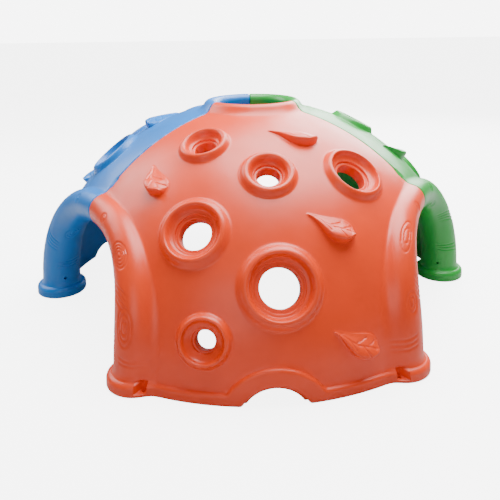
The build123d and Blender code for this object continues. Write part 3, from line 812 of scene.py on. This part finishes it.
def off_leaf(points, leaf):
    """Whether points are more than 11 mm outside a leaf's outline."""
    place = leaf_place(points, leaf)
    near = (place[:, 0] > -0.018) & (place[:, 0] < 0.202) & (np.abs(place[:, 1] + 0.016) < 0.062)
    near[near] = leaf_gap(place[near]) > -0.011
    return ~near


def notch_row(radius, turn):
    """Points of the outer ball on an arc about the notch's centre, clear of the ground."""
    x, z = radius * np.sin(turn), NOTCH_CENTRE_Z + radius * np.cos(turn)
    return ball_point(x[z > 0.004], z[z > 0.004], FACE_RADIUS)


def edge_rows():
    """Rows of points at set distances from the band's edge, the notch's mouth and the seams."""
    rows = []
    angle, turn = np.radians(np.arange(-34, 34, 0.36)), np.radians(np.arange(-80, 80, 1.8))
    for inside in BAND_ROWS:
        z = BAND_HEIGHT - inside
        level = math.sqrt(FACE_RADIUS ** 2 - (z - BALL_CENTRE[2]) ** 2)
        along = np.stack([level * np.sin(angle), BALL_CENTRE[1] - level * np.cos(angle),
                          0 * angle + z], axis=1)
        for row in (along, notch_row(NOTCH_RADIUS + BAND_WIDTH - inside, turn)):
            rows.append(row[np.abs(band_distance(row) - inside) < 0.0012])
    turn = np.radians(np.arange(-70, 70, 2.4))
    rows += [notch_row(NOTCH_RADIUS + gap, turn) for gap in NOTCH_ROWS]
    level = np.arange(COLLAR_FOOT, 0.62, 0.0075)
    for gap in EDGE_ROWS:
        share = 1 - gap / (level * HALF_SECTOR)
        rows += [axis_point(level, side * share, FACE_RADIUS) for side in (-1, 1)]
    return np.concatenate(rows)


def crater_cosine(chart, crater):
    """Cosine of the angle between chart points and a crater's middle line."""
    return (from_chart(chart, FACE_RADIUS) - BALL_CENTRE) @ face_frame(*crater[:2])[2] / FACE_RADIUS


def outer_sheet(edge, craters):
    """The outer face: an even lattice where it is plain, and closer points at the leaves, the
    band and the seams."""
    loop = to_chart(edge)
    plain = lattice(loop.min(axis=0), loop.max(axis=0), OUTER_STEP)
    spots, leaves = leaf_spots(), []
    for leaf in LEAVES:
        leaves.append(to_chart(leaf_point(spots[:, 0], spots[:, 1], leaf)))
        plain = plain[off_leaf(from_chart(plain, FACE_RADIUS), leaf)]
    place = from_chart(plain, FACE_RADIUS)
    inside = band_distance(place)
    kept = ((inside < -0.011) | (inside > 0.040)) & (place[:, 2] > 0.004)
    kept &= seam_distance(place) > 0.013
    kept &= np.hypot(place[:, 0], place[:, 2] - NOTCH_CENTRE_Z) > NOTCH_RADIUS + 0.014
    chart = np.concatenate([plain[kept], to_chart(edge_rows())] + leaves)
    chart = chart[inside_loop(chart, loop)]
    gap = loop_distance(chart, loop)
    place = from_chart(chart, FACE_RADIUS)
    close_rows = (seam_distance(place) < 0.010) | (place[:, 2] < 0.05)
    chart = chart[(gap > 0.0035) | ((gap > 0.0005) & close_rows)]
    for crater in CRATERS:
        cosine = crater_cosine(chart, crater)
        reach = FACE_RADIUS * np.sin(np.arccos(np.clip(cosine, -1, 1)))
        chart = chart[(reach > crater[2] * RIM_SPREAD + 0.004) | (cosine < 0)]
    chart, faces = sheet(loop, [to_chart(rim) for _, rim, _ in craters], chart)
    return outer_face(from_chart(chart, FACE_RADIUS)), faces


def inner_sheet(edge, craters):
    """The plain inner face: an even lattice, clear of its edges and of the craters' necks."""
    loop = to_chart(edge)
    chart = lattice(loop.min(axis=0), loop.max(axis=0), INNER_STEP)
    chart = chart[inside_loop(chart, loop)]
    chart = chart[loop_distance(chart, loop) > 0.009]
    for crater in CRATERS:
        neck = math.cos((crater[4] + 0.014) / FACE_RADIUS)
        chart = chart[crater_cosine(chart, crater) < neck]
    chart, faces = sheet(loop, [to_chart(neck) for _, _, neck in craters], chart)
    return from_chart(chart, INNER_RADIUS), faces


def panel_mesh():
    """The whole moulding, facing -Y, as one closed mesh: the parts are welded along the edges
    that they share, and the seam faces and ground faces are filled."""
    strips = leg_strip(1), leg_strip(-1), notch_strip(), collar_strip()
    craters = [crater_patch(crater) for crater in CRATERS]
    outer_edge = sheet_edge(*[strip[1] for strip in strips], FACE_RADIUS, OUTER_EDGE_STEP)
    inner_edge = sheet_edge(*[strip[2] for strip in strips], INNER_RADIUS, INNER_EDGE_STEP)
    parts = [outer_sheet(outer_edge, craters), inner_sheet(inner_edge, craters)]
    for pieces, closed in ((strips, False), (craters, True)):
        for grid, _, _ in pieces:
            rows, columns, _ = grid.shape
            parts.append((grid.reshape(-1, 3), grid_faces(rows, columns, closed)))
    built = bmesh.new()
    for points, faces in parts:
        mesh = bpy.data.meshes.new("part")
        mesh.from_pydata(points.tolist(), [], faces.tolist())
        built.from_mesh(mesh)
        bpy.data.meshes.remove(mesh)
    bmesh.ops.remove_doubles(built, verts=built.verts, dist=WELD)
    bmesh.ops.holes_fill(built, edges=[e for e in built.edges if e.is_boundary], sides=0)
    bmesh.ops.recalc_face_normals(built, faces=built.faces)
    mesh = bpy.data.meshes.new("panel")
    built.to_mesh(mesh)
    built.free()
    return mesh


BOLT_STATIONS = (0.262, 0.440, 0.585)
BOLT_HEIGHT = 0.017
POCKET_LOW, POCKET_HIGH, POCKET_ROUND = -0.057, 0.017, 0.009
POCKET_NEAR, POCKET_FAR, POCKET_HALF_WIDTH = 0.008, 0.052, 0.021


def station_frame(distance):
    """Bolt axis at the right seam: its place, and unit vectors downhill, out of the dome and
    into the panel."""
    along_centre, across_centre = BALL_CENTRE @ SEAM_OUT, BALL_CENTRE @ SEAM_NORMAL
    radius = math.sqrt((INNER_RADIUS + BOLT_HEIGHT) ** 2 - across_centre ** 2)
    rise = math.acos((distance - along_centre) / radius)
    out = SEAM_OUT * math.cos(rise) + UPRIGHT * math.sin(rise)
    downhill = SEAM_OUT * math.sin(rise) - UPRIGHT * math.cos(rise)
    place = SEAM_OUT * along_centre + UPRIGHT * BALL_CENTRE[2] + out * radius
    return place, downhill, out, -SEAM_NORMAL


def prism(rings):
    """A closed prism through rings of points: side quads and two end faces."""
    count = rings.shape[1]
    faces = grid_faces(len(rings), count, True).tolist()
    faces += [list(range(count))[::-1], list(range((len(rings) - 1) * count, len(rings) * count))]
    return rings.reshape(-1, 3), faces


def squared_off(wave):
    """A wave of a superellipse of power 5: the plain wave's size to the 0.4."""
    return np.sign(wave) * np.abs(wave) ** 0.4


def pocket_shape(distance):
    """A bolt pocket: a superellipse outline of power 5, carried out of the dome and drawn in
    round a quarter circle at its end."""
    place, downhill, out, inwards = station_frame(distance)
    turn = np.arange(40) * 2 * np.pi / 40
    bend = np.linspace(0, np.pi / 2, 6)
    heights = np.concatenate([[POCKET_LOW], POCKET_HIGH - POCKET_ROUND * (1 - np.sin(bend))])
    draw = np.concatenate([[0], POCKET_ROUND * (1 - np.cos(bend))])
    half = (POCKET_FAR - POCKET_NEAR) / 2
    x = squared_off(np.cos(turn)) * (POCKET_HALF_WIDTH - draw[:, None])
    y = squared_off(np.sin(turn)) * (half - draw[:, None])
    middle = place + inwards * (POCKET_NEAR + POCKET_FAR) / 2
    return prism(middle + x[..., None] * downhill + y[..., None] * inwards
                 + heights[:, None, None] * out)


def drill(start, way, length, radius):
    """A round bar from a place along a unit vector."""
    side = np.cross(way, [0.0, 0.6, 0.8])
    side = side / np.linalg.norm(side)
    turn = np.arange(28) * 2 * np.pi / 28
    ring = radius * (np.cos(turn)[:, None] * side + np.sin(turn)[:, None] * np.cross(way, side))
    return prism(start + ring + np.array([0.0, length])[:, None, None] * way)


def cut_away(mesh, shapes):
    """The mesh less closed shapes and their mirror images."""
    tool = bmesh.new()
    for points, faces in shapes:
        for flip in (np.ones(3), MIRROR):
            part = bpy.data.meshes.new("shape")
            part.from_pydata((points * flip).tolist(), [], faces)
            tool.from_mesh(part)
            bpy.data.meshes.remove(part)
    bmesh.ops.recalc_face_normals(tool, faces=tool.faces)
    tool_mesh = bpy.data.meshes.new("tool")
    tool.to_mesh(tool_mesh)
    tool.free()
    blank = bpy.data.objects.new("blank", mesh)
    cutter = bpy.data.objects.new("cutter", tool_mesh)
    for item in (blank, cutter):
        bpy.context.scene.collection.objects.link(item)
    difference = blank.modifiers.new("cut", "BOOLEAN")
    difference.operation = "DIFFERENCE"
    difference.solver = "EXACT"
    difference.object = cutter
    ready = blank.evaluated_get(bpy.context.evaluated_depsgraph_get())
    result = bpy.data.meshes.new_from_object(ready)
    bpy.data.objects.remove(blank)
    bpy.data.objects.remove(cutter)
    return result


BOLT_HOLE, ANCHOR_HOLE, VENT_HOLE = 0.0045, 0.0055, 0.006      # radii
VENT_HEIGHT = 0.084
SHARP_ANGLE = math.radians(52)

moulding = panel_mesh()
moulding = cut_away(moulding, [pocket_shape(distance) for distance in BOLT_STATIONS])
drills = [drill(station_frame(distance)[0] + SEAM_NORMAL * 0.004, -SEAM_NORMAL, 0.018, BOLT_HOLE)
          for distance in BOLT_STATIONS]
drills.append(drill(anchor_hole() - UPRIGHT * 0.010, UPRIGHT, 0.026, ANCHOR_HOLE))
vent = arch_line(np.zeros(1))[0] + UPRIGHT * VENT_HEIGHT
drills.append(drill(vent + SEAM_NORMAL * 0.055, SEAM_NORMAL, 0.05, VENT_HOLE))
moulding = cut_away(moulding, drills)
moulding.shade_smooth()
moulding.set_sharp_from_angle(angle=SHARP_ANGLE)

# ---- Panels: plastic and placing -------------------------------------------------------------
# Polyethylene coloured right through, satin from the mould, with a faint mottle, soft sinks
# and a fine mould grain. The one moulding is used three times, a third of a turn apart.

PLASTICS = {"red": (0.86, 0.050, 0.001), "green": (0.012, 0.34, 0.036), "blue": (0.001, 0.178, 0.60)}
AXIS_BEHIND = 0.0295        # the dome's axis, behind the middle of its box


class Finish:
    """A material whose noise patterns lie in the object's own coordinates."""

    def __init__(self, name):
        self.material = bpy.data.materials.new(name)
        self.material.use_nodes = True
        self.shader = self.material.node_tree.nodes["Principled BSDF"]
        self.place = self.add("TexCoord").outputs["Object"]

    def add(self, kind, **settings):
        """A new node with some of its inputs set."""
        node = self.material.node_tree.nodes.new("ShaderNode" + kind)
        for setting, value in settings.items():
            node.inputs[setting.replace("_", " ")].default_value = value
        return node

    def link(self, source, target):
        """Joins an output to an input."""
        self.material.node_tree.links.new(source, target)

    def noise(self, scale, detail):
        """Noise of about the given number of waves in a metre."""
        node = self.add("TexNoise", Scale=scale, Detail=detail)
        self.link(self.place, node.inputs["Vector"])
        return node.outputs["Fac"]

    def mottle(self, noise, dark, light):
        """Colour between two by a noise."""
        node = self.add("Mix")
        node.data_type = "RGBA"
        node.inputs["A"].default_value = (*dark, 1)
        node.inputs["B"].default_value = (*light, 1)
        self.link(noise, node.inputs["Factor"])
        self.link(node.outputs["Result"], self.shader.inputs["Base Color"])

    def gloss(self, noise, **limits):
        """Roughness between two values by a noise."""
        node = self.add("MapRange", **limits)
        self.link(noise, node.inputs["Value"])
        self.link(node.outputs["Result"], self.shader.inputs["Roughness"])

    def bump(self, noise, strength, distance):
        """A bump node on a noise."""
        node = self.add("Bump", Strength=strength, Distance=distance)
        self.link(noise, node.inputs["Height"])
        return node


def panel_plastic(name, colour):
    """Moulded polyethylene: pigment and gloss a little uneven, soft sinks and a fine grain."""
    plastic = Finish(name)
    plastic.mottle(plastic.noise(7.0, 3.0), [c * 0.86 for c in colour],
                   [min(1, c * 1.08) for c in colour])
    plastic.gloss(plastic.noise(11.0, 4.0), From_Min=0.3, From_Max=0.7, To_Min=0.30, To_Max=0.40)
    sink = plastic.bump(plastic.noise(16.0, 1.0), 0.35, 0.0016)
    grain = plastic.bump(plastic.noise(520.0, 2.0), 0.10, 0.0004)
    plastic.link(sink.outputs["Normal"], grain.inputs["Normal"])
    plastic.link(grain.outputs["Normal"], plastic.shader.inputs["Normal"])
    return plastic.material


for turn_step, colour in enumerate(("red", "green", "blue")):
    mesh = moulding.copy()
    mesh.name = colour + "_moulding"
    mesh.transform(Matrix.Translation((0, AXIS_BEHIND, 0))
                   @ Matrix.Rotation(turn_step * 2 * HALF_SECTOR, 4, "Z"))
    panel = bpy.data.objects.new(colour + "_moulding", mesh)
    bpy.context.scene.collection.objects.link(panel)
    mesh.materials.clear()
    mesh.materials.append(panel_plastic(colour + "_polyethylene", PLASTICS[colour]))
    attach(panel, "root")
    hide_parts(colour + "_panel")

# ---- Seam bolts, washers and cap nuts ----------------------------------------------------------
# Nine sets of an M8 hexagon bolt, two washers and a domed cap nut hold the seams together,
# in the pockets on the inside. They are zinc-plated steel, and the cap nuts are brighter.


def plated_steel(name, colour, rough):
    """Plated steel: a slightly cloudy plate, duller where it is pale."""
    steel = Finish(name)
    steel.shader.inputs["Metallic"].default_value = 1.0
    cloud = steel.noise(260.0, 4.0)
    steel.mottle(cloud, [c * 0.8 for c in colour], colour)
    steel.gloss(cloud, To_Min=rough - 0.08, To_Max=rough + 0.12)
    return steel.material


zinc = plated_steel("zinc_plated_steel", (0.66, 0.67, 0.66), 0.34)
bright = plated_steel("bright_plated_steel", (0.78, 0.78, 0.79), 0.18)
for node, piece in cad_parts.items():
    if node.endswith(("_bolt", "_washer", "_cap_nut")):
        piece.data.materials.clear()
        piece.data.materials.append(bright if node.endswith("_cap_nut") else zinc)

# ---- Stage and light -------------------------------------------------------------------------
# A plain pale floor and a pale studio, bright to look at but dim as lamps, so that the shade
# on the plastic comes from four soft boxes: overhead, behind, left and a weak one in front.

FLOOR_REACH = 40.0
FLOOR_GREY = 0.50
FLOOR_GLOW = 5.5
STUDIO_LAMP, STUDIO_SEEN = 0.28, 7.0
SOFT_BOXES = {"overhead": ((0.7, 0.5, 3.8), (0, 0.1, 0.3), 3.2, 400),
              "behind": ((2.4, 3.6, 2.8), (0, 0, 0.5), 3.0, 350),
              "left": ((-3.0, 1.6, 3.0), (-0.2, 0, 0.6), 2.4, 110),
              "front": ((-1.2, -4.6, 2.0), (0, 0, 0.3), 2.5, 38)}

floor_mesh = bpy.data.meshes.new("floor")
floor_corners = np.array([(-1, -1, 0), (1, -1, 0), (1, 1, 0), (-1, 1, 0)]) * FLOOR_REACH
floor_mesh.from_pydata(floor_corners.tolist(), [], [(0, 1, 2, 3)])
floor = bpy.data.objects.new("floor", floor_mesh)
bpy.context.scene.collection.objects.link(floor)
paint = Finish("floor")
paint.shader.inputs["Base Color"].default_value = (FLOOR_GREY, FLOOR_GREY, FLOOR_GREY, 1)
paint.shader.inputs["Roughness"].default_value = 0.8
paint.shader.inputs["Emission Color"].default_value = (1, 1, 1, 1)
glow = paint.add("Math")
glow.operation = "MULTIPLY"
glow.inputs[1].default_value = FLOOR_GLOW
paint.link(paint.add("LightPath").outputs["Is Camera Ray"], glow.inputs[0])
paint.link(glow.outputs[0], paint.shader.inputs["Emission Strength"])
floor_mesh.materials.append(paint.material)

world = bpy.data.worlds.new("studio")
world.use_nodes = True
world_nodes, world_links = world.node_tree.nodes, world.node_tree.links
backdrop = world_nodes["Background"]
backdrop.inputs["Color"].default_value = (1, 1, 1, 1)
seen = world_nodes.new("ShaderNodeMapRange")
seen.inputs["To Min"].default_value = STUDIO_LAMP
seen.inputs["To Max"].default_value = STUDIO_SEEN
world_links.new(world_nodes.new("ShaderNodeLightPath").outputs["Is Camera Ray"], seen.inputs["Value"])
world_links.new(seen.outputs["Result"], backdrop.inputs["Strength"])
bpy.context.scene.world = world

for name, (place, aim, size, power) in SOFT_BOXES.items():
    lamp = bpy.data.lights.new(name, "AREA")
    lamp.size = size
    lamp.energy = power
    soft_box = bpy.data.objects.new(name, lamp)
    soft_box.location = place
    soft_box.rotation_euler = (Vector(aim) - Vector(place)).to_track_quat("-Z", "Y").to_euler()
    bpy.context.scene.collection.objects.link(soft_box)
